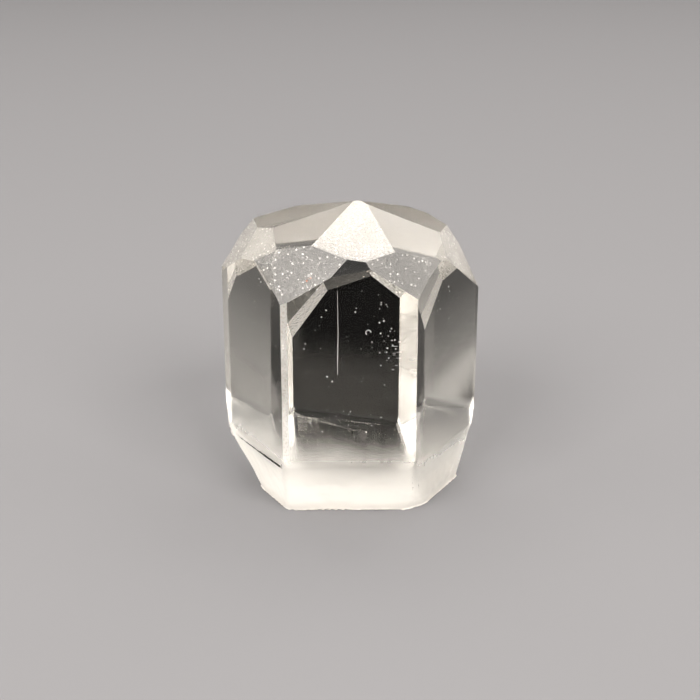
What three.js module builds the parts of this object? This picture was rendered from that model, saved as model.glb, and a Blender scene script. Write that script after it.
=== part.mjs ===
// A single phenakite crystal: a short, nearly regular hexagonal prism along Z.
// A low pyramid with steeper shoulder facets closes the top. The lower end narrows
// in rough sloping faces to a flat break, on which the crystal stands.
// Units are millimetres, +Z is up along the prism's axis, and -Y faces the viewer.
// The origin is the middle of the flat base.

import * as THREE from 'three';

// Driving dimensions. Every face's distance is taken from one point on the prism's axis.
const AXIS_HEIGHT = 5.2; // height of that point over the base
const FRONT_FLAT = 3.94; // from the axis to the front prism face
const BACK_FLAT = 4.7; // to the rear one
const FRONT_LEFT_FLAT = 3.89; // and to the four side faces
const FRONT_RIGHT_FLAT = 3.86;
const BACK_LEFT_FLAT = 4.16;
const BACK_RIGHT_FLAT = 3.9;
const SIDE_AZIMUTH = 60; // turn from one prism face to the next, in degrees

// The axis stands a little off the origin, so that the origin is the middle of the bounding box
const AXIS_POINT = new THREE.Vector3(0.0125, (FRONT_FLAT - BACK_FLAT) / 2, AXIS_HEIGHT);

// Colour and finish
const COLOUR = '#e9e7e1';
const ROUGHNESS = 0.12;

// Distances closer than this count as the same point or as lying on a face
const TOLERANCE = 1e-6;

// A face lies square to its outward normal. tilt is the angle of the normal from +Z,
// azimuth its turn from -Y towards +X, both in degrees, and distance runs from the axis point.
function face(name, tilt, azimuth, distance) {
  const t = THREE.MathUtils.degToRad(tilt);
  const a = THREE.MathUtils.degToRad(azimuth);
  const normal = new THREE.Vector3(Math.sin(t) * Math.sin(a), -Math.sin(t) * Math.cos(a), Math.cos(t));
  return { name, normal, constant: distance + normal.dot(AXIS_POINT) };
}

// The upright faces of the hexagonal prism, and the narrow ones that take off two of its left edges
function prismFaces() {
  return [
    face('prism front', 90, 0, FRONT_FLAT),
    face('prism front right', 90, SIDE_AZIMUTH, FRONT_RIGHT_FLAT),
    face('prism rear right', 90, 2 * SIDE_AZIMUTH, BACK_RIGHT_FLAT),
    face('prism rear', 90, 3 * SIDE_AZIMUTH, BACK_FLAT),
    face('prism rear left', 90, -2 * SIDE_AZIMUTH, BACK_LEFT_FLAT),
    face('prism front left', 90, -SIDE_AZIMUTH, FRONT_LEFT_FLAT),
    face('edge left', 90, -74, 4.188),
    face('edge front left', 90, -10, 4.23),
  ];
}

// The low six-sided pyramid at the top. Its front face is a kite in two faintly different halves.
function pyramidFaces() {
  return [
    face('kite', 18.5, 11.5, 5.07),
    face('kite left half', 18, 3.5, 5.08),
    face('pyramid front left', 17.5, -55, 5.0),
    face('pyramid front right', 23, 57, 5.02),
    face('pyramid left', 17, -99.5, 4.9),
    face('pyramid right', 21, 97, 4.95),
    face('pyramid rear', 18.5, 179, 4.78),
  ];
}

// The steeper facets between the pyramid and the prism
function shoulderFaces() {
  return [
    face('shoulder front left', 55.5, -24.5, 5.19),
    face('shoulder front right', 53.5, 28.5, 5.31),
    face('shoulder left', 50.5, -86, 5.1),
    face('shoulder right', 58.5, 83, 4.84),
    face('shoulder rear left', 41, -163, 4.84),
    face('shoulder rear right', 42, 166, 4.761),
    face('corner left', 38.5, -72, 5.17),
    face('corner right', 42, 67, 5.26),
    face('corner rear left', 56, -126, 5.36),
    face('corner rear right', 57, 119, 5.05),
    face('rhomb front', 68.5, -4.5, 5.01),
    face('rhomb rear', 68.4, -172, 4.99),
    face('band rear left', 74.9, -158, 4.895),
    face('slope rear left', 73.5, -156.1, 4.88),
    face('band rear right', 58.1, 150, 4.871),
    face('triangle left', 57, -48.5, 5.26),
    face('triangle right', 57, 44.5, 5.3),
    face('strip right', 54, 33, 5.33),
    face('nick left', 66, -46, 5.05),
  ];
}

// The broken lower end: sloping faces all round, one chipped corner and the flat base
function lowerFaces() {
  return [
    face('lower front', 115.5, 0, 4.86),
    face('lower front right', 100, 60, 4.37),
    face('lower rear right', 102, 115, 4.551),
    face('lower rear', 117, -176, 5.72),
    face('lower rear left', 107, -118, 4.82),
    face('lower front left', 104, -60, 4.51),
    face('lower left', 125, -91, 5.62),
    face('chip', 128, 33, 5.95),
    face('base', 180, 0, AXIS_HEIGHT),
  ];
}

// The point where three faces meet, or null where they don't meet in one point
function meetingPoint(a, b, c) {
  const bc = new THREE.Vector3().crossVectors(b.normal, c.normal);
  const ca = new THREE.Vector3().crossVectors(c.normal, a.normal);
  const ab = new THREE.Vector3().crossVectors(a.normal, b.normal);
  const determinant = a.normal.dot(bc);
  if (Math.abs(determinant) < TOLERANCE) return null;
  return bc.multiplyScalar(a.constant)
    .addScaledVector(ca, b.constant)
    .addScaledVector(ab, c.constant)
    .divideScalar(determinant);
}

// Every corner of the solid that the faces enclose, each one once
function findCorners(faces) {
  const corners = [];
  for (let i = 0; i < faces.length; i += 1) {
    for (let j = i + 1; j < faces.length; j += 1) {
      for (let k = j + 1; k < faces.length; k += 1) {
        const point = meetingPoint(faces[i], faces[j], faces[k]);
        if (!point) continue;
        const inside = faces.every((f) => f.normal.dot(point) < f.constant + TOLERANCE);
        const known = corners.some((corner) => corner.distanceTo(point) < TOLERANCE);
        if (inside && !known) corners.push(point);
      }
    }
  }
  return corners;
}

// The numbers of the corners that lie on a face, in order round its outward normal
function outlineOf(f, corners) {
  const ring = [...corners.keys()].filter((i) => Math.abs(f.normal.dot(corners[i]) - f.constant) < TOLERANCE);
  const middle = new THREE.Vector3();
  ring.forEach((i) => middle.addScaledVector(corners[i], 1 / ring.length));
  const across = corners[ring[0]].clone().sub(middle).normalize();
  const along = new THREE.Vector3().crossVectors(f.normal, across);
  const angle = (i) => {
    const arm = corners[i].clone().sub(middle);
    return Math.atan2(arm.dot(along), arm.dot(across));
  };
  return ring.sort((i, j) => angle(i) - angle(j));
}

// The closed solid inside the faces, each face cut into a fan of triangles
function solidInside(faces) {
  const corners = findCorners(faces);
  const triangles = [];
  for (const f of faces) {
    const ring = outlineOf(f, corners);
    for (let i = 1; i < ring.length - 1; i += 1) {
      triangles.push(ring[0], ring[i], ring[i + 1]);
    }
  }
  const geometry = new THREE.BufferGeometry().setFromPoints(corners);
  geometry.setIndex(triangles);
  geometry.computeVertexNormals();
  return geometry;
}

function makeCrystal() {
  const faces = [...prismFaces(), ...pyramidFaces(), ...shoulderFaces(), ...lowerFaces()];
  const material = new THREE.MeshStandardMaterial({
    color: COLOUR,
    roughness: ROUGHNESS,
    metalness: 0,
    flatShading: true,
  });
  const crystal = new THREE.Mesh(solidInside(faces), material);
  crystal.name = 'phenakite_crystal';
  return crystal;
}

const part = new THREE.Group();
part.add(makeCrystal());

export default part;
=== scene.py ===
import math
import random

import bpy
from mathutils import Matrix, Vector


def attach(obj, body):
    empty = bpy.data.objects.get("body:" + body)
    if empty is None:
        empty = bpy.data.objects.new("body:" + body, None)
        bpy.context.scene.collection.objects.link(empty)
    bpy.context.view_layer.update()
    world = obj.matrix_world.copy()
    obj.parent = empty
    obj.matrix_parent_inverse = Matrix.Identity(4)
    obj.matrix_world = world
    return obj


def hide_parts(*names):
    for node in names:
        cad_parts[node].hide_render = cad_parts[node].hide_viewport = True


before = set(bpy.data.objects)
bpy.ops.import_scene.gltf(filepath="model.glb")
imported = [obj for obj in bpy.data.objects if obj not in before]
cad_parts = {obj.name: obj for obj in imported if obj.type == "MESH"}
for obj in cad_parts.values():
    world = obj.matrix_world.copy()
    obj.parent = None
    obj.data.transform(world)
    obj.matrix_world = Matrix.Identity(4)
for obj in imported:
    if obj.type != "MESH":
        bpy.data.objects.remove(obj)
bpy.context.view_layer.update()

mm = 0.001
scene = bpy.context.scene
ops = bpy.ops


def linear(hexColour):
    channels = [int(hexColour[i:i + 2], 16) / 255 for i in (1, 3, 5)]
    return [c / 12.92 if c <= 0.04045 else ((c + 0.055) / 1.055) ** 2.4 for c in channels] + [1.0]


def addNode(tree, kind, settings=None, links=None):
    node = tree.nodes.new(kind)
    for name, value in (settings or {}).items():
        if isinstance(name, int) or name in node.inputs:
            node.inputs[name].default_value = value
        else:
            setattr(node, name, value)
    for name, source in (links or {}).items():
        tree.links.new(source, node.inputs[name])
    return node


def newMaterial(name):
    material = bpy.data.materials.new(name)
    material.use_nodes = True
    material.node_tree.nodes.clear()
    return material, material.node_tree


def nodeMaths(tree):  # short ways to add number nodes, whose values are plain numbers or sockets
    def maths(operation, *values):
        settings, links = {"operation": operation}, {}
        for slot, value in enumerate(values):
            (settings if isinstance(value, (int, float)) else links)[slot] = value
        return addNode(tree, "ShaderNodeMath", settings, links).outputs[0]

    def ramp(value, low, high, start=0.0, end=1.0, curve="SMOOTHSTEP"):
        settings = {"interpolation_type": curve, "From Min": low, "From Max": high,
                    "To Min": start, "To Max": end}
        return addNode(tree, "ShaderNodeMapRange", settings, {"Value": value}).outputs[0]

    def weigh(total, *terms):  # adds each value times its share
        for value, share in terms:
            total = maths("MULTIPLY_ADD", value, share, total)
        return total

    return maths, ramp, weigh


def mixColours(tree, factor, first, second):
    settings = {"data_type": "RGBA", 6: linear(first), 7: linear(second)}
    return addNode(tree, "ShaderNodeMix", settings, {0: factor}).outputs[2]


def diffuseMaterial(name, colour):
    material, tree = newMaterial(name)
    shader = addNode(tree, "ShaderNodeBsdfDiffuse", {"Color": linear(colour)})
    addNode(tree, "ShaderNodeOutputMaterial", {}, {"Surface": shader.outputs[0]})
    return material


def selectOnly(piece):
    ops.object.select_all(action="DESELECT")
    piece.select_set(True)
    bpy.context.view_layer.objects.active = piece


def selectParts(piece, kind, test):  # opens edit mode with the vertices, edges or faces that pass the test
    ops.object.mode_set(mode="EDIT")
    ops.mesh.select_mode(type=kind)
    ops.mesh.select_all(action="DESELECT")
    ops.object.mode_set(mode="OBJECT")
    mesh = piece.data
    for item in {"VERT": mesh.vertices, "EDGE": mesh.edges, "FACE": mesh.polygons}[kind]:
        item.select = test(item)
    ops.object.mode_set(mode="EDIT")


def facetNormal(tilt, azimuth):  # tilt from straight up, azimuth from the front towards the right
    t, a = math.radians(tilt), math.radians(azimuth)
    return Vector((math.sin(t) * math.sin(a), -math.sin(t) * math.cos(a), math.cos(t)))


# ---- crystal
# Each facet's finish: tilt, azimuth, broken, etch (fine natural pitting), striae (growth lines)
facetFinish = {
    "prism front": (90, 0, 0.0, 0.0, 0.1),
    "prism front right": (90, 60, 0.0, 0.0, 0.3),
    "prism rear right": (90, 120, 0.0, 0.0, 0.6),
    "prism rear": (90, 180, 0.0, 0.0, 2.5),
    "prism rear left": (90, -120, 0.0, 0.0, 0.6),
    "prism front left": (90, -60, 0.0, 0.0, 0.8),
    "edge left": (90, -74, 0.0, 0.0, 1.0),
    "edge front left": (90, -10, 0.0, 2.4, 1.0),
    "kite": (18.5, 11.5, 0.0, 1.5, 0.0),
    "kite left half": (18, 3.5, 0.0, 1.5, 0.0),
    "pyramid front left": (17.5, -55, 0.0, 0.1, 0.0),
    "pyramid front right": (23, 57, 0.0, 0.1, 0.0),
    "pyramid left": (17, -99.5, 0.0, 0.2, 0.0),
    "pyramid right": (21, 97, 0.0, 0.2, 0.0),
    "pyramid rear": (18.5, 179, 0.0, 0.2, 0.0),
    "shoulder front left": (55.5, -24.5, 0.0, 0.9, 0.0),
    "shoulder front right": (53.5, 28.5, 0.0, 0.7, 0.0),
    "shoulder left": (50.5, -86, 0.0, 0.9, 0.0),
    "shoulder right": (58.5, 83, 0.0, 0.7, 0.0),
    "shoulder rear left": (41, -163, 0.0, 0.2, 0.0),
    "shoulder rear right": (42, 166, 0.0, 0.2, 0.0),
    "corner left": (38.5, -72, 0.0, 1.1, 0.0),
    "corner right": (42, 67, 0.0, 1.1, 0.0),
    "corner rear left": (56, -126, 0.0, 0.4, 0.0),
    "corner rear right": (57, 119, 0.0, 0.4, 0.0),
    "rhomb front": (68.5, -4.5, 0.0, 0.1, 0.0),
    "rhomb rear": (68.4, -172, 0.0, 0.3, 0.0),
    "band rear left": (74.9, -158, 0.0, 3.0, 0.0),
    "slope rear left": (73.5, -156.1, 0.0, 0.0, 0.0),
    "band rear right": (58.1, 150, 0.0, 2.6, 0.0),
    "triangle left": (57, -48.5, 0.0, 0.5, 0.0),
    "triangle right": (57, 44.5, 0.0, 0.5, 0.0),
    "strip right": (54, 33, 0.0, 1.0, 0.0),
    "nick left": (66, -46, 0.0, 1.0, 0.0),
    "lower front": (115.5, 0, 1.0, 0.0, 0.0),
    "lower front right": (100, 60, 0.38, 0.0, 0.0),
    "lower rear right": (102, 115, 0.3, 0.0, 0.0),
    "lower rear": (117, -176, 0.25, 0.0, 0.0),
    "lower rear left": (107, -118, 1.0, 0.0, 0.0),
    "lower front left": (104, -60, 1.0, 0.0, 0.0),
    "lower left": (125, -91, 1.0, 0.0, 0.0),
    "chip": (128, 33, 1.0, 0.0, 0.0),
    "base": (180, 0, 1.0, 0.0, 0.0),
}
crystalSize = {
    "mergeGap": 0.0005 * mm,
    "flatAngle": 0.3,           # degrees
    "edgeWidth": 0.03 * mm,
    "edgeSegments": 2,
    "edgeAngle": 8,
    "softWidth": 0.2 * mm,      # wider rounding round the broken foot
    "softSegments": 8,
    "ownAngle": 0.7,            # a face further than this from its facet's plane belongs to a rounding
    "leastBreak": 0.21,         # how broken a rounding is where it leaves the prism
    "fullBreak": 0.43,          # how far a rounding faces down where it is wholly broken
    "refineFrom": 0.2,          # faces more broken than this are refined and worn
    "refineTurns": 9,
    "brokenStep": 0.16 * mm,    # longest triangle side on the broken faces
    "waveDepth": 0.09 * mm,     # their slow waves and fine roughness
    "waveSize": 1.1 * mm,
    "roughDepth": 0.035 * mm,
    "roughSize": 0.22 * mm,
    "breakTop": 2.2 * mm,       # no roughness above this height, and all of it a fade lower
    "rearTop": 0.5 * mm,        # the same at the rear
    "breakFade": 1.0 * mm,
    "rimShare": 0.8,
    "smoothTurns": 4,
    "smoothTo": 30,             # degrees: edges sharper than this stay sharp
}
# limits for the upward part of a face's normal, from -1 straight down to 1 straight up
facing = {
    "ground": -0.99,
    "nearGround": -0.95,
    "slope": -0.1,
    "smooth": -0.03,
    "rounding": -0.02,
    "wear": 0.05,
}


def findFinish(face, normals):
    name = max(normals, key=lambda n: normals[n].dot(face.normal))
    finish = dict(zip(("broken", "etch", "striae"), facetFinish[name][2:]))
    return finish, math.degrees(normals[name].angle(face.normal))


def readMask(mesh, name):
    return [item.value for item in mesh.attributes[name].data]


def cleanCopy(source):  # a copy of the CAD solid with one polygon for each facet
    crystal = bpy.data.objects.new("crystal", source.data.copy())
    scene.collection.objects.link(crystal)
    selectOnly(crystal)
    ops.object.mode_set(mode="EDIT")
    ops.mesh.select_all(action="SELECT")
    ops.mesh.remove_doubles(threshold=crystalSize["mergeGap"])
    ops.mesh.dissolve_limited(angle_limit=math.radians(crystalSize["flatAngle"]))
    ops.mesh.normals_make_consistent(inside=False)
    ops.object.mode_set(mode="OBJECT")
    print("crystal:", len(crystal.data.polygons), "facets")
    return crystal


def roundEdges(crystal):  # widely round the sloping broken faces, then finely all over
    soft, ground = set(), set()
    for face in crystal.data.polygons:
        if face.normal.z < facing["nearGround"]:
            ground |= set(face.edge_keys)
        elif face.normal.z < facing["slope"]:
            soft |= set(face.edge_keys)
    soft -= ground
    selectParts(crystal, "EDGE", lambda edge: edge.key in soft)
    ops.mesh.bevel(offset=crystalSize["softWidth"], segments=crystalSize["softSegments"], affect="EDGES")
    ops.object.mode_set(mode="OBJECT")
    bevel = crystal.modifiers.new("edges", "BEVEL")
    bevel.width = crystalSize["edgeWidth"]
    bevel.segments = crystalSize["edgeSegments"]
    bevel.limit_method = "ANGLE"
    bevel.angle_limit = math.radians(crystalSize["edgeAngle"])
    ops.object.modifier_apply(modifier="edges")


def writeMasks(mesh):  # gives each face its finish, for the material
    for name in ("broken", "etch", "striae", "wear"):
        mesh.attributes.new(name, "FLOAT", "FACE")
    normals = {name: facetNormal(*values[:2]) for name, values in facetFinish.items()}
    for face in mesh.polygons:
        finish, off = findFinish(face, normals)
        rounding = off > crystalSize["ownAngle"]
        if rounding and face.normal.z < facing["rounding"] and face.center.y < 0:
            share = -face.normal.z / crystalSize["fullBreak"]
            finish["broken"] = min(max(share, crystalSize["leastBreak"]), 1.0)
        finish["wear"] = 1.0 if rounding and face.normal.z > facing["wear"] else 0.0
        for name, value in finish.items():
            mesh.attributes[name].data[face.index].value = value


def refineBroken(crystal):  # splits the long sides on the broken faces until their triangles are small
    mesh = crystal.data
    least = crystalSize["refineFrom"]
    for turn in range(crystalSize["refineTurns"]):
        broken = readMask(mesh, "broken")
        rims = {key for face in mesh.polygons if broken[face.index] > least for key in face.edge_keys}
        far = {key for key in rims
               if (mesh.vertices[key[0]].co - mesh.vertices[key[1]].co).length > crystalSize["brokenStep"]}
        if not far:
            break
        selectParts(crystal, "EDGE", lambda edge: edge.key in far)
        ops.mesh.subdivide(number_cuts=1)
        ops.object.mode_set(mode="OBJECT")
        broken = readMask(mesh, "broken")
        selectParts(crystal, "FACE", lambda face: broken[face.index] > least)
        ops.mesh.quads_convert_to_tris(quad_method="BEAUTY", ngon_method="BEAUTY")
        ops.object.mode_set(mode="OBJECT")
    print("crystal: broken faces refined to", len(mesh.polygons), "faces after", turn, "turns")


def wearDown(crystal, name, size, depth, group):  # pushes the chosen points inwards by a cloud pattern
    clouds = bpy.data.textures.new(name, "CLOUDS")
    clouds.noise_scale = size
    clouds.noise_depth = 2
    push = crystal.modifiers.new(name, "DISPLACE")
    push.texture = clouds
    push.texture_coords = "LOCAL"
    push.vertex_group = group
    push.mid_level = 0.0
    push.strength = -depth
    selectOnly(crystal)
    ops.object.modifier_apply(modifier=name)


def wearFoot(crystal):  # the break is smooth where it meets the prism and rough at the foot
    mesh = crystal.data
    broken = readMask(mesh, "broken")
    ground, worn, plain = set(), set(), set()
    for face in mesh.polygons:
        if face.normal.z < facing["ground"]:
            ground |= set(face.vertices)
        elif broken[face.index] > crystalSize["refineFrom"]:
            worn |= set(face.vertices)
        else:
            plain |= set(face.vertices)
    still = plain | ground
    loose = {v.index for v in mesh.vertices if v.index not in still
             and v.co.z < crystalSize["breakTop" if v.co.y < 0 else "rearTop"]}
    selectParts(crystal, "VERT", lambda vertex: vertex.index in loose)
    ops.mesh.vertices_smooth(factor=0.5, repeat=crystalSize["smoothTurns"])
    ops.object.mode_set(mode="OBJECT")
    group = crystal.vertex_groups.new(name="worn")
    for vertex in mesh.vertices:
        if vertex.index in loose and vertex.co.y <= 0:
            drop = (crystalSize["breakTop"] - vertex.co.z) / crystalSize["breakFade"]
            group.add([vertex.index], min(max(drop, 0.0), 1.0), "REPLACE")
    group.add(list(worn & ground), crystalSize["rimShare"], "REPLACE")
    wearDown(crystal, "slowWaves", crystalSize["waveSize"], crystalSize["waveDepth"], "worn")
    wearDown(crystal, "fineRoughness", crystalSize["roughSize"], crystalSize["roughDepth"], "worn")
    crystal.vertex_groups.clear()


def shadeFoot(crystal):  # smooth shading for the front of the foot only
    for face in crystal.data.polygons:
        face.use_smooth = facing["ground"] < face.normal.z < facing["smooth"] and face.center.y < 0
    selectParts(crystal, "EDGE", lambda edge: False)
    ops.mesh.edges_select_sharp(sharpness=math.radians(crystalSize["smoothTo"]))
    ops.mesh.mark_sharp()
    ops.object.mode_set(mode="OBJECT")


def makeCrystal():
    crystal = cleanCopy(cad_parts["phenakite_crystal"])
    roundEdges(crystal)
    writeMasks(crystal.data)
    refineBroken(crystal)
    wearFoot(crystal)
    shadeFoot(crystal)
    print("crystal:", len(crystal.data.polygons), "faces with worn edges and broken foot")
    return crystal


# ramps are low, high, start, end; scales are per metre, so 1000 is a pattern of about a millimetre
crystalLook = {
    "colour": "#FDFCF9",
    "dustColour": "#A79E93",
    "brokenColour": "#FCFAF6",
    # painted shade for the rear of the broken base
    "rearShadeColour": "#C4BDB4",
    "ior": 1.66,
    "cloudScale": 1100.0,
    "fibreScale": (7000.0, 7000.0, 450.0),
    "grainScale": 13000.0,
    "pitScale": 7600.0,
    "pitEdge": (0.14, 0.3, 1.0, 0.0),
    "pitChoice": (0.5, 0.55, 0.0, 1.0),
    "levelDrop": 0.25 * mm,                       # the white reaches an uneven level, higher at the front
    "levelFrontRise": 0.22,
    "levelSideRise": 0.1,
    "levelCloud": 0.8 * mm,
    "levelFibre": 0.9 * mm,
    "prismWhite": (1.6 * mm, 3.0 * mm, 1.0, 0.0),
    "prismWhiteShare": 0.25,
    "brokenWhite": (0.6 * mm, 2.7 * mm, 1.0, 0.0),
    "brokenWhiteShare": 0.72,
    # veil flecks: milky veils in the break, partly painted highlights standing in for blurred bright spots
    "veilHighlightScale": 1500.0,                          # round flecks on the broken faces
    "veilHighlightEdge": (0.1, 0.36, 0.14, 0.0),
    "veilHighlightChoice": (0.5, 0.6, 0.0, 1.0),
    "rearGrey": (-1.2 * mm, 1.6 * mm, 0.3, 1.0),
    "baseGrey": (0.05 * mm, 0.4 * mm, 1.0, 0.0),
    "blurUp": (2.2 * mm, 4.8 * mm, 0.12, 0.0),    # a faint roughness low on the prism
    "blurBack": (0.0, 1.0 * mm, 1.0, 0.4),
    "polish": 0.015,
    "etchBase": -0.12,                            # the etch's white specks, by pits and grain, in patches
    "etchPit": 0.6,
    "etchGrain": 0.5,
    "etchPlain": 0.4,
    "etchCloud": 1.2,
    "hazeFrost": 0.92,                            # how white and how rough each finish is
    "hazeWear": 0.14,
    "roughFrost": 0.45,
    "roughBroken": 0.25,
    "roughEtch": 0.16,
    "roughStriae": 0.03,
    "roughWear": 0.12,
    "reliefFibre": 0.2,
    "dustShare": 0.5,
    "dustChoice": (0.5, 0.62, 0.0, 1.0),
    "bumpStrength": 0.35,
    "bumpDepth": 0.02 * mm,
    "throughShare": 0.55,                         # part of the white's light that comes from inside
    "absorbColour": "#F1EBDF",
    "absorbDensity": 15.0,
    "milkColour": "#FFFEFC",
    "milkFade": (-3.35 * mm, -0.4 * mm, 1.0, 0.0),
    "milkBackRise": 1.0,
    "milkSideRise": 0.2,
    "milkCloud": 0.9 * mm,
    "milkPower": 1.4,
    "milkPlain": 0.2,
    "milkFibre": 1.6,
    "milkDensity": 2000.0,
    "milkForward": 0.3,
}


def crystalMaterial():
    # natural phenakite: clear, strongly refracting and colourless; its top faces are etched to a silky grey,
    # and its broken foot is milky with tiny cracks, which thin out up the prism
    material, tree = newMaterial("natural phenakite")
    maths, ramp, weigh = nodeMaths(tree)
    look = crystalLook
    broken, etch, striae, wear = (
        addNode(tree, "ShaderNodeAttribute", {"attribute_name": name}).outputs["Fac"]
        for name in ("broken", "etch", "striae", "wear"))
    place = addNode(tree, "ShaderNodeTexCoord").outputs["Object"]
    axes = addNode(tree, "ShaderNodeSeparateXYZ", {}, {0: place}).outputs

    def noise(scale, detail, vector=place):
        settings = {"Scale": scale, "Detail": detail}
        return addNode(tree, "ShaderNodeTexNoise", settings, {"Vector": vector}).outputs["Fac"]

    def cells(scale, edge, choice):  # round flecks in some of the cells
        outputs = addNode(tree, "ShaderNodeTexVoronoi", {"Scale": scale}, {"Vector": place}).outputs
        chance = addNode(tree, "ShaderNodeSeparateColor", {}, {0: outputs["Color"]}).outputs[0]
        return maths("MULTIPLY", ramp(outputs["Distance"], *edge), ramp(chance, *choice))

    def clamp(value):
        return addNode(tree, "ShaderNodeClamp", {}, {0: value}).outputs[0]

    cloud = noise(look["cloudScale"], 3.0)
    upright = addNode(tree, "ShaderNodeMapping", {"Scale": look["fibreScale"]}, {"Vector": place}).outputs[0]
    fibre = noise(1.0, 2.0, upright)
    grain = noise(look["grainScale"], 2.0)
    pit = cells(look["pitScale"], look["pitEdge"], look["pitChoice"])

    level = weigh(axes["Z"], (axes["Y"], look["levelFrontRise"]), (axes["X"], look["levelSideRise"]),
                  (cloud, look["levelCloud"]), (fibre, look["levelFibre"]))
    level = maths("SUBTRACT", level, look["levelDrop"])
    prismWhite = maths("MULTIPLY", ramp(level, *look["prismWhite"]), look["prismWhiteShare"])
    brokenWhite = maths("MULTIPLY", broken, ramp(level, *look["brokenWhite"]))
    white = maths("MAXIMUM", prismWhite, maths("MULTIPLY", brokenWhite, look["brokenWhiteShare"]))
    # round white flecks on the broken faces: milky veils, partly painted highlights for blurred bright spots
    veilHighlight = maths("MULTIPLY", maths("GREATER_THAN", broken, crystalSize["refineFrom"]),
                 cells(look["veilHighlightScale"], look["veilHighlightEdge"], look["veilHighlightChoice"]))
    frost = maths("MAXIMUM", veilHighlight, white)

    speck = weigh(look["etchBase"], (pit, look["etchPit"]), (grain, look["etchGrain"]))
    patch = weigh(look["etchPlain"], (cloud, look["etchCloud"]))
    etched = maths("MULTIPLY", maths("MULTIPLY", etch, speck), patch)
    haze = clamp(weigh(etched, (frost, look["hazeFrost"]), (wear, look["hazeWear"])))
    blur = maths("MULTIPLY", ramp(axes["Z"], *look["blurUp"]), ramp(axes["Y"], *look["blurBack"]))
    rough = weigh(maths("ADD", blur, look["polish"]), (frost, look["roughFrost"]),
                  (broken, look["roughBroken"]), (etch, look["roughEtch"]), (striae, look["roughStriae"]),
                  (wear, look["roughWear"]))
    relief = maths("MULTIPLY", etch, maths("SUBTRACT", grain, pit))
    relief = maths("MULTIPLY_ADD", frost, maths("MULTIPLY", fibre, look["reliefFibre"]), relief)
    bump = addNode(tree, "ShaderNodeBump", {"Strength": look["bumpStrength"], "Distance": look["bumpDepth"]},
                   {"Height": relief}).outputs[0]

    dust = maths("MULTIPLY", etch, look["dustShare"])
    dust = clamp(maths("MULTIPLY", dust, ramp(grain, *look["dustChoice"])))
    tint = mixColours(tree, dust, look["colour"], look["dustColour"])
    glass = addNode(tree, "ShaderNodeBsdfPrincipled", {"IOR": look["ior"], "Transmission Weight": 1.0},
                    {"Roughness": rough, "Normal": bump, "Base Color": tint})
    # painted shade: the broken base is greyer towards the rear
    grey = maths("MULTIPLY", ramp(axes["Y"], *look["rearGrey"]), ramp(axes["Z"], *look["baseGrey"]))
    stoneAndShade = mixColours(tree, grey, look["brokenColour"], look["rearShadeColour"])
    skin = addNode(tree, "ShaderNodeBsdfDiffuse", {}, {"Color": stoneAndShade, "Normal": bump})
    through = addNode(tree, "ShaderNodeBsdfTranslucent", {}, {"Color": stoneAndShade, "Normal": bump})
    body = addNode(tree, "ShaderNodeMixShader", {0: look["throughShare"]},
                   {1: skin.outputs[0], 2: through.outputs[0]})
    surface = addNode(tree, "ShaderNodeMixShader", {}, {0: haze, 1: glass.outputs[0], 2: body.outputs[0]})

    # milky scattering that thins out upwards and towards the rear
    depth = weigh(axes["Z"], (axes["Y"], look["milkBackRise"]), (axes["X"], look["milkSideRise"]),
                  (cloud, look["milkCloud"]))
    milkiness = maths("POWER", ramp(depth, *look["milkFade"]), look["milkPower"])
    milkiness = maths("MULTIPLY", milkiness, weigh(look["milkPlain"], (fibre, look["milkFibre"])))
    absorb = addNode(tree, "ShaderNodeVolumeAbsorption",
                     {"Color": linear(look["absorbColour"]), "Density": look["absorbDensity"]})
    scatter = addNode(tree, "ShaderNodeVolumeScatter",
                      {"Color": linear(look["milkColour"]), "Anisotropy": look["milkForward"]},
                      {"Density": maths("MULTIPLY", milkiness, look["milkDensity"])})
    inside = addNode(tree, "ShaderNodeAddShader", {}, {0: absorb.outputs[0], 1: scatter.outputs[0]})
    addNode(tree, "ShaderNodeOutputMaterial", {},
            {"Surface": surface.outputs[0], "Volume": inside.outputs[0]})
    return material


crystal = makeCrystal()
crystal.data.materials.clear()
crystal.data.materials.append(crystalMaterial())
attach(crystal, "root")
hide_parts("phenakite_crystal")

# ---- inclusions
inclusionSize = {
    "needleTop": (-0.36 * mm, -3.62 * mm, 8.2 * mm),
    "needleFoot": (-0.43 * mm, -3.62 * mm, 5.3 * mm),
    "needleRadius": 0.014 * mm,
    "needleCuts": (-0.3, 0.0, 0.25),
    # height as a share of the length, thickness, and shift in mm
    "needleRings": ((0.5, 0.3, 0.0), (0.25, 0.5, 0.012), (0.0, 0.65, 0.02), (-0.5, 0.4, 0.0)),
    "crumbRadius": 0.024 * mm,
    "curlPlace": (0.61 * mm, -3.62 * mm, 6.78 * mm),
    "curlRadius": 0.085 * mm,
    "curlThickness": 0.013 * mm,
    "curlTurn": 230,
    "scratches": 14,
    "scratchInner": (1.35, 1.6),    # places in mm
    "scratchOuter": (2.0, 2.15),
    "scratchHeight": (5.4, 6.9),
    "scratchDepth": -4.28 * mm,
    "scratchInnerShare": 0.6,
    "scratchLength": (2.0, 6.0),    # sizes as shares of a crumb
    "scratchWidth": (0.3, 0.35),
    "scratchTilt": 0.1,
    "speckRadius": 0.035 * mm,
}
# crumb swarms inside the crystal: middle and half size in mm, and how many
crumbSwarms = [
    ((1.25, -3.4, 6.6), (0.28, 0.3, 1.2), 24),
    ((-0.2, -3.1, 6.1), (1.5, 0.8, 2.0), 30),
    ((-2.9, -2.4, 6.6), (0.5, 0.3, 1.6), 7),
    ((3.0, -2.3, 7.0), (0.5, 0.3, 1.0), 9),
    ((-0.1, -2.4, 3.2), (1.4, 0.8, 0.5), 16),
]
# rusty specks: place in mm and size
ironPlaces = [((-1.36, -4.1, 8.59), 1.0), ((-1.23, -4.08, 8.68), 0.8), ((-1.31, -4.07, 8.66), 0.5)]


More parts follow.
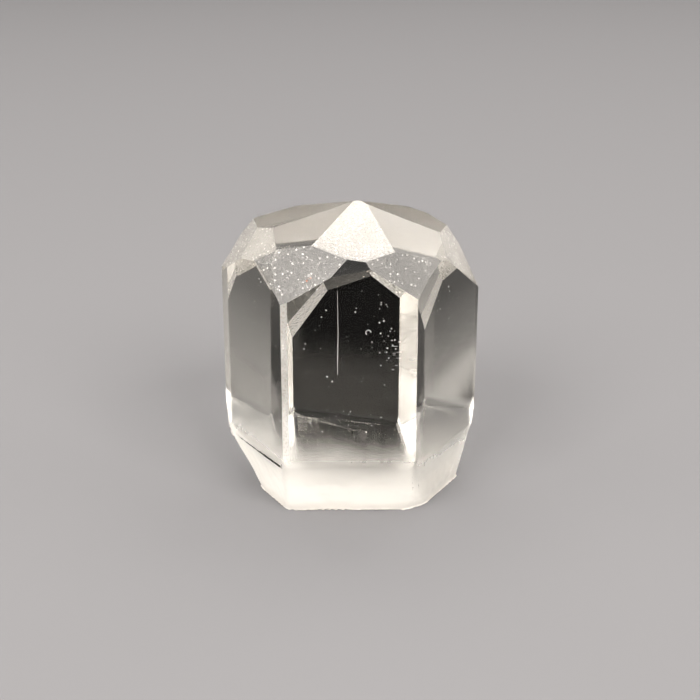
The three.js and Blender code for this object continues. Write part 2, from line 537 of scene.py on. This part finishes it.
def makeNeedle():  # a hollow growth tube, thickest near its lower end
    top, foot = Vector(inclusionSize["needleTop"]), Vector(inclusionSize["needleFoot"])
    length = (top - foot).length
    ops.object.select_all(action="DESELECT")
    ops.mesh.primitive_cylinder_add(vertices=8, radius=inclusionSize["needleRadius"], depth=length)
    needle = bpy.context.object
    needle.name = "needle"
    for height in inclusionSize["needleCuts"]:
        ops.object.mode_set(mode="EDIT")
        ops.mesh.select_all(action="SELECT")
        ops.mesh.bisect(plane_co=(0, 0, height * length), plane_no=(0, 0, 1))
        ops.object.mode_set(mode="OBJECT")
    for height, size, shift in inclusionSize["needleRings"]:
        selectParts(needle, "VERT", lambda vertex: abs(vertex.co.z - height * length) < 0.01 * length)
        ops.transform.resize(value=(size, size, 1), center_override=(0, 0, height * length))
        ops.transform.translate(value=(shift * mm, 0, 0))
        ops.object.mode_set(mode="OBJECT")
    needle.rotation_euler = (top - foot).to_track_quat("Z", "Y").to_euler()
    needle.location = (top + foot) / 2
    ops.object.transform_apply(location=True, rotation=True, scale=True)
    return needle


def makeCurl():  # a curved healed crack
    place = Vector(inclusionSize["curlPlace"])
    ops.object.select_all(action="DESELECT")
    ops.mesh.primitive_circle_add(vertices=6, radius=inclusionSize["curlThickness"], fill_type="NGON",
                                  location=place + Vector((inclusionSize["curlRadius"], 0, 0)))
    curl = bpy.context.object
    curl.name = "curl"
    ops.object.transform_apply(location=True, rotation=True, scale=True)
    ops.object.mode_set(mode="EDIT")
    ops.mesh.select_all(action="SELECT")
    ops.mesh.spin(steps=10, angle=math.radians(inclusionSize["curlTurn"]), center=place, axis=(0, 1, 0))
    ops.mesh.select_all(action="SELECT")
    ops.mesh.normals_make_consistent(inside=False)
    ops.object.mode_set(mode="OBJECT")
    return curl


def makeCrumb(radius, seed):
    ops.object.select_all(action="DESELECT")
    ops.mesh.primitive_ico_sphere_add(subdivisions=1, radius=radius)
    crumb = bpy.context.object
    ops.object.mode_set(mode="EDIT")
    ops.mesh.select_all(action="SELECT")
    ops.transform.vertex_random(offset=0.35 * radius, seed=seed)
    ops.mesh.normals_make_consistent(inside=False)
    ops.object.mode_set(mode="OBJECT")
    return crumb


def placeCopy(master, place, size, turn):
    piece = bpy.data.objects.new(master.name, master.data.copy())
    scene.collection.objects.link(piece)
    piece.location = place
    piece.scale = size
    piece.rotation_euler = turn
    return piece


def joinPieces(name, pieces):
    ops.object.select_all(action="DESELECT")
    for piece in pieces:
        piece.select_set(True)
    bpy.context.view_layer.objects.active = pieces[0]
    ops.object.join()
    whole = bpy.context.object
    whole.name = name
    ops.object.transform_apply(location=True, rotation=True, scale=True)
    return whole


def makeInclusions():
    chance = random.Random(11)
    crumb = makeCrumb(inclusionSize["crumbRadius"], 3)
    pieces = [makeNeedle(), makeCurl()]
    for middle, half, count in crumbSwarms:
        for _ in range(count):
            place = [(m + h * chance.uniform(-1, 1)) * mm for m, h in zip(middle, half)]
            size = 0.45 + 0.9 * chance.random() ** 2
            stretch = [size * chance.uniform(0.8, 1.2) for _ in range(3)]
            pieces.append(placeCopy(crumb, place, stretch, [chance.uniform(0, 3) for _ in range(3)]))
    for _ in range(inclusionSize["scratches"]):  # short and level, just under the front face's right edge
        inner = chance.random() < inclusionSize["scratchInnerShare"]
        x = chance.uniform(*inclusionSize["scratchInner" if inner else "scratchOuter"])
        place = (x * mm, inclusionSize["scratchDepth"], chance.uniform(*inclusionSize["scratchHeight"]) * mm)
        size = (chance.uniform(*inclusionSize["scratchLength"]), *inclusionSize["scratchWidth"])
        tilt = chance.uniform(-1, 1) * inclusionSize["scratchTilt"]
        pieces.append(placeCopy(crumb, place, size, (0, tilt, 0)))
    whole = joinPieces("inclusions", pieces)
    bpy.data.objects.remove(crumb)
    print("inclusions:", len(whole.data.polygons), "faces")
    return whole


def makeIronSpecks():  # rusty grains caught on the left shoulder facet
    crumb = makeCrumb(inclusionSize["speckRadius"], 5)
    pieces = [placeCopy(crumb, [v * mm for v in place], (size, size, size), (size, 0, 1))
              for place, size in ironPlaces]
    whole = joinPieces("ironSpecks", pieces)
    bpy.data.objects.remove(crumb)
    print("iron specks:", len(whole.data.polygons), "faces")
    return whole


def grainMaterial(name, colour, dark, roughness, scale):
    material, tree = newMaterial(name)
    place = addNode(tree, "ShaderNodeTexCoord").outputs["Object"]
    mottle = addNode(tree, "ShaderNodeTexNoise", {"Scale": scale, "Detail": 2.0}, {"Vector": place})
    tone = mixColours(tree, mottle.outputs["Fac"], dark, colour)
    shader = addNode(tree, "ShaderNodeBsdfPrincipled", {"Roughness": roughness}, {"Base Color": tone})
    addNode(tree, "ShaderNodeOutputMaterial", {}, {"Surface": shader.outputs[0]})
    return material


inclusions = makeInclusions()
# healed cracks and fluid drops: tiny white mirrors that read as bright dust in the clear crystal
inclusions.data.materials.clear()
inclusions.data.materials.append(grainMaterial("healed cracks", "#F4F6F8", "#D5D6D8", 0.4, 20000.0))
ironSpecks = makeIronSpecks()
# iron oxide: dull red brown, powdery
ironSpecks.data.materials.clear()
ironSpecks.data.materials.append(grainMaterial("iron oxide", "#B5652C", "#6E3212", 0.8, 30000.0))
for piece in (inclusions, ironSpecks):
    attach(piece, "root")

# ---- stage
stageSize = {
    "floor": 3000 * mm,
    "floorColour": "#6A6A6C",
    "cardRadius": 70 * mm,
    "gap": 0.01 * mm,       # between the crystal, the card and the floor
    "padSize": (3.0 * mm, 2.0 * mm),
    "padPlace": -2.05 * mm,
    "padColour": "#F6F4EF",
    "flagDistance": 260 * mm,
    "flagWidth": 170 * mm,
    "flagHeight": 75 * mm,
    # the flag's colour is a painted dark reflection
    "darkReflectionColour": "#050505",
}
# the card's tones, painted shade and painted light seen through the crystal, as ramps of low, high, start,
# end; angles are degrees from straight behind the crystal
paintedCardTones = {
    # painted shade straight behind the crystal, for its dark middle
    "middle": (6.0 * mm, 7.5 * mm, 0.05, 0.002),   # by distance, straight behind
    "middleSkew": -0.45,
    "leftFar": (6 * mm, 16 * mm, 0.09, 0.023),     # by distance to the side
    "leftNear": (5.8 * mm, 8.2 * mm, 0.075, 0.0),
    "right": (4 * mm, 17 * mm, 0.14, 0.05),
    "leftToRight": (-2 * mm, 2 * mm),
    "behindToSide": (15, 32),
    "sideToFront": (85, 105),
    # painted light towards the front sides, for the bright bars in the crystal
    "front": 0.2,
    "frontFade": (145, 165),
    "frontDark": 0.03,
    # painted shadow under the crystal
    "under": (3.2 * mm, 5.5 * mm),                 # dark under the crystal
}


def hideFromPlainView(piece):  # leaves it to the rays that pass through the crystal or are mirrored
    piece.visible_camera = False
    piece.visible_shadow = False
    piece.visible_diffuse = False


def addPlane(name, location, size, rotation=(0, 0, 0)):
    ops.object.select_all(action="DESELECT")
    ops.mesh.primitive_plane_add(size=1, location=location, rotation=rotation)
    plane = bpy.context.object
    plane.name = name
    ops.transform.resize(value=size)
    return plane


def makeFloor():  # pale paper: plain and matt, with nothing on it
    side = stageSize["floor"]
    floor = addPlane("floor", (0, 0, -2 * stageSize["gap"]), (side, side, 1))
    floor.data.materials.append(diffuseMaterial("pale paper", stageSize["floorColour"]))
    return floor


def cardMaterial():  # card of painted shade and painted light, dark straight behind the crystal and graded at its sides
    material, tree = newMaterial("painted shade and light card")
    maths, ramp, _ = nodeMaths(tree)

    def blend(factor, first, second):
        settings, links = {"data_type": "FLOAT"}, {0: factor}
        for slot, value in ((2, first), (3, second)):
            (settings if isinstance(value, float) else links)[slot] = value
        return addNode(tree, "ShaderNodeMix", settings, links).outputs[0]

    def turned(name, *tones):
        return ramp(turn, *(math.radians(angle) for angle in paintedCardTones[name]), *tones)

    place = addNode(tree, "ShaderNodeTexCoord").outputs["Object"]
    axes = addNode(tree, "ShaderNodeSeparateXYZ", {}, {0: place}).outputs
    radius = addNode(tree, "ShaderNodeVectorMath", {"operation": "LENGTH"}, {0: place}).outputs["Value"]
    aside = maths("ABSOLUTE", axes["X"])
    turn = maths("ARCTAN2", aside, axes["Y"])
    left = maths("ADD", ramp(aside, *paintedCardTones["leftNear"]), ramp(aside, *paintedCardTones["leftFar"], "LINEAR"))
    right = ramp(aside, *paintedCardTones["right"], "LINEAR")
    sides = blend(ramp(axes["X"], *paintedCardTones["leftToRight"]), left, right)
    skewed = maths("MULTIPLY_ADD", axes["X"], paintedCardTones["middleSkew"], radius)
    grey = blend(turned("behindToSide"), ramp(skewed, *paintedCardTones["middle"]), sides)
    tone = blend(turned("sideToFront"), grey, paintedCardTones["front"])
    tone = maths("MULTIPLY", tone, turned("frontFade", 1.0, paintedCardTones["frontDark"]))
    tone = maths("MULTIPLY", tone, ramp(radius, *paintedCardTones["under"]))
    shader = addNode(tree, "ShaderNodeBsdfDiffuse", {}, {"Color": tone})
    addNode(tree, "ShaderNodeOutputMaterial", {}, {"Surface": shader.outputs[0]})
    return material


def makeCard():  # lies on the floor round the crystal and shows only through it, as painted shade and painted light
    ops.object.select_all(action="DESELECT")
    ops.mesh.primitive_circle_add(vertices=64, radius=stageSize["cardRadius"], fill_type="NGON",
                                  location=(0, 0, -stageSize["gap"]))
    card = bpy.context.object
    card.name = "paintedShadeLightCard"
    card.data.materials.append(cardMaterial())
    hideFromPlainView(card)
    return card


def makePad():  # matt white paper under the front of the base, wholly hidden by the crystal
    place = (0, stageSize["padPlace"], -0.5 * stageSize["gap"])
    pad = addPlane("whitePad", place, (*stageSize["padSize"], 1))
    pad.data.materials.append(diffuseMaterial("white paper", stageSize["padColour"]))
    return pad


def makeFlag():  # painted dark reflection: a dark sheet behind, with no sheen, which only the grazing rear facets mirror
    flag = addPlane("darkReflectionFlag", (0, stageSize["flagDistance"], stageSize["flagHeight"] / 2),
                    (stageSize["flagWidth"], 1, stageSize["flagHeight"]), (math.radians(90), 0, 0))
    flag.data.materials.append(diffuseMaterial("painted dark reflection", stageSize["darkReflectionColour"]))
    hideFromPlainView(flag)
    return flag


makeFloor()
makeCard()
makePad()
makeFlag()
print("stage: floor, card, pad and flag")

# azimuth from straight behind the crystal towards the right, elevation, width and height in mm, and watts
softboxes = {
    "backSoftbox": (5, 62, 420, 220, 1.25),
    "frontRightSoftbox": (148, 36, 160, 160, 1.8),
    "frontLeftSoftbox": (-148, 36, 160, 160, 1.8),
    "leftSoftbox": (-100, 42, 300, 260, 0.7),
    "rightSoftbox": (95, 42, 300, 260, 0.65),
    "cornerSoftbox": (26, 37, 140, 90, 0.06),
}
lightValues = {
    "distance": 350 * mm,
    "warmth": (1.0, 0.95, 0.9),
    "roomColour": "#E6E4DF",
    "roomStrength": 0.5,
}


def addSoftbox(name, azimuth, elevation, width, height, power):
    light = bpy.data.lights.new(name, "AREA")
    light.shape = "RECTANGLE"
    light.size = width * mm
    light.size_y = height * mm
    light.energy = power
    light.color = lightValues["warmth"]
    lamp = bpy.data.objects.new(name, light)
    scene.collection.objects.link(lamp)
    a, e = math.radians(azimuth), math.radians(elevation)
    outward = Vector((math.sin(a) * math.cos(e), math.cos(a) * math.cos(e), math.sin(e)))
    lamp.location = outward * lightValues["distance"]
    lamp.rotation_euler = (-outward).to_track_quat("-Z", "Y").to_euler()
    return lamp


def makeRoomLight():
    world = bpy.data.worlds.new("studio")
    scene.world = world
    world.use_nodes = True
    room = world.node_tree.nodes["Background"].inputs
    room["Color"].default_value = linear(lightValues["roomColour"])
    room["Strength"].default_value = lightValues["roomStrength"]


for name, values in softboxes.items():
    addSoftbox(name, *values)
makeRoomLight()
print("lights:", len(softboxes), "softboxes and the room")

# ---- camera
viewpoint = {
    "elevation": 20.508,
    "distance": 42.558 * mm,
    "target": (0.0125 * mm, -4.32 * mm, 6.33 * mm),
    "fieldOfView": 29.75,
    "sensor": 36,
    "clip": (1 * mm, 10),
}


def makeCamera():
    data = bpy.data.cameras.new("camera")
    data.sensor_width = viewpoint["sensor"]
    data.lens = data.sensor_width / 2 / math.tan(math.radians(viewpoint["fieldOfView"] / 2))
    data.clip_start, data.clip_end = viewpoint["clip"]
    camera = bpy.data.objects.new("camera", data)
    scene.collection.objects.link(camera)
    e = math.radians(viewpoint["elevation"])
    back = Vector((0, -math.cos(e), math.sin(e)))
    camera.location = Vector(viewpoint["target"]) + back * viewpoint["distance"]
    camera.rotation_euler = (-back).to_track_quat("-Z", "Y").to_euler()
    scene.camera = camera


makeCamera()
# light passes many crystal faces before it leaves
scene.cycles.max_bounces = 24
scene.cycles.transmission_bounces = 24
scene.cycles.glossy_bounces = 12
scene.cycles.volume_bounces = 6
scene.view_settings.view_transform = "Standard"
